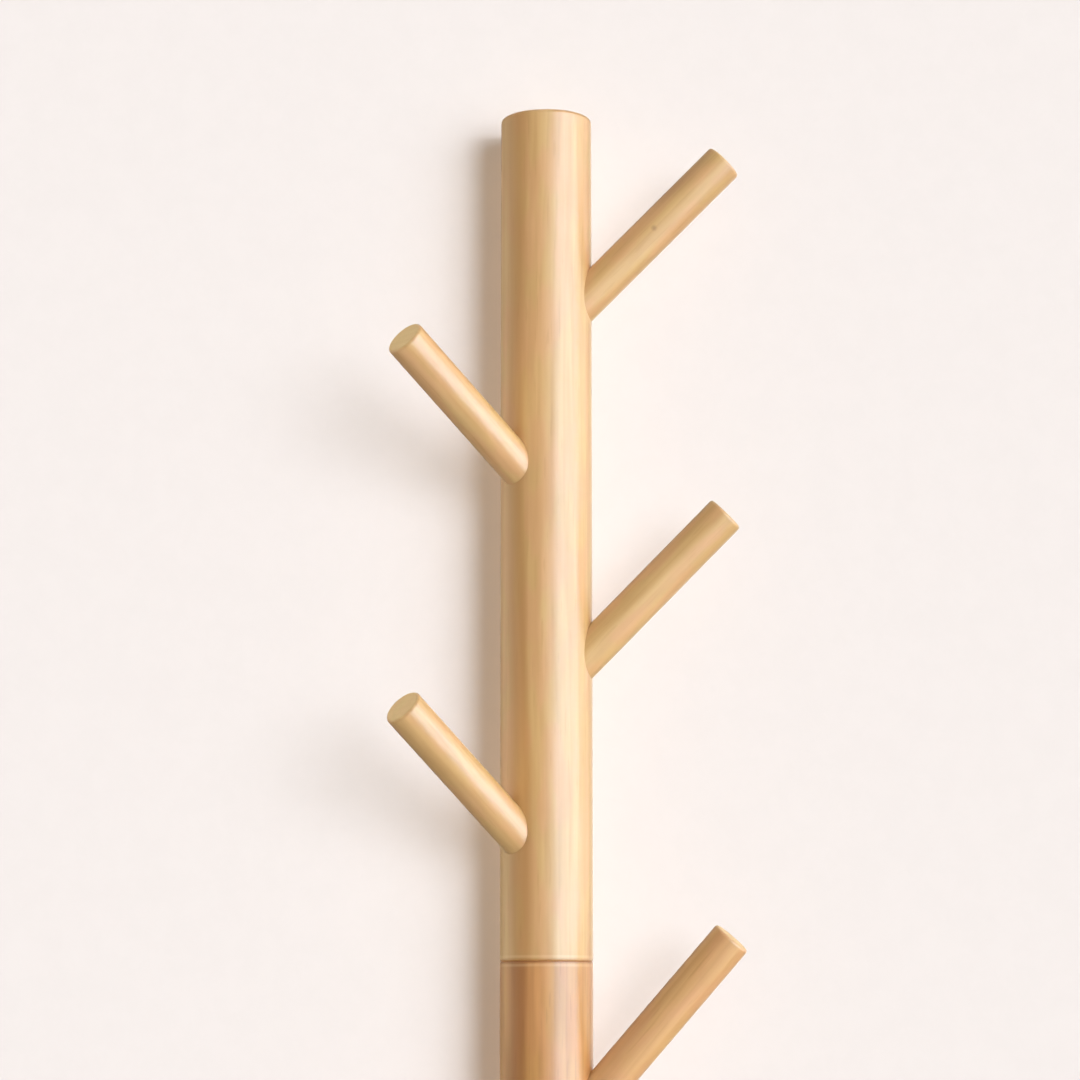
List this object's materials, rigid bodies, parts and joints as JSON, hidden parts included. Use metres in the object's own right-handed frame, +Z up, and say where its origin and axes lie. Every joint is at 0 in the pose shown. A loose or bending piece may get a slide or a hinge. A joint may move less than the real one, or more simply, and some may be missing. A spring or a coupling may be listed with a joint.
{
  "type": "standing coat rack",
  "caption": "Slim standing coat rack: a round wooden pole in screwed sections with slanted round pegs, on a half-moon base whose flat back goes against a wall.",
  "frame": {"origin": "on the floor, under the middle of the base's footprint", "axes": "+Z up along the pole, +Y out of the base's flat back towards the wall, the pegs to both sides along X and forward along -Y"},
  "size_m": [0.4, 0.23, 1.707],
  "materials": {
    "pale_wood": "clear satin lacquer, straight fine grain",
    "warm_wood": "clear satin lacquer, straight fine grain, redder than the pale wood",
    "base_wood": "clear satin lacquer, grain along the flat back",
    "zinc_steel": "zinc plated",
    "brass": "machined",
    "black_steel": "black powder coat",
    "pad_rubber": "matt"
  },
  "bodies": {
    "root": {"top_section": "pale_wood", "upper_section": "warm_wood", "lower_section": "warm_wood", "bottom_section": "warm_wood", "peg_right_1": "pale_wood", "peg_left_1": "pale_wood", "peg_right_2": "pale_wood", "peg_left_2": "pale_wood", "peg_right_3": "warm_wood", "peg_left_3": "warm_wood", "peg_right_4": "warm_wood", "peg_left_4": "warm_wood", "peg_studs": "zinc_steel", "peg_inserts": "brass", "top_joint_stud": "zinc_steel", "middle_joint_stud": "zinc_steel", "bottom_joint_stud": "zinc_steel", "section_inserts": "brass", "base_board": "base_wood", "base_bolt": "zinc_steel", "base_washer": "zinc_steel", "base_dowel": "pale_wood", "ballast_plate": "black_steel", "ballast_screws": "zinc_steel", "floor_pads": "pad_rubber"}
  },
  "joints": []
}
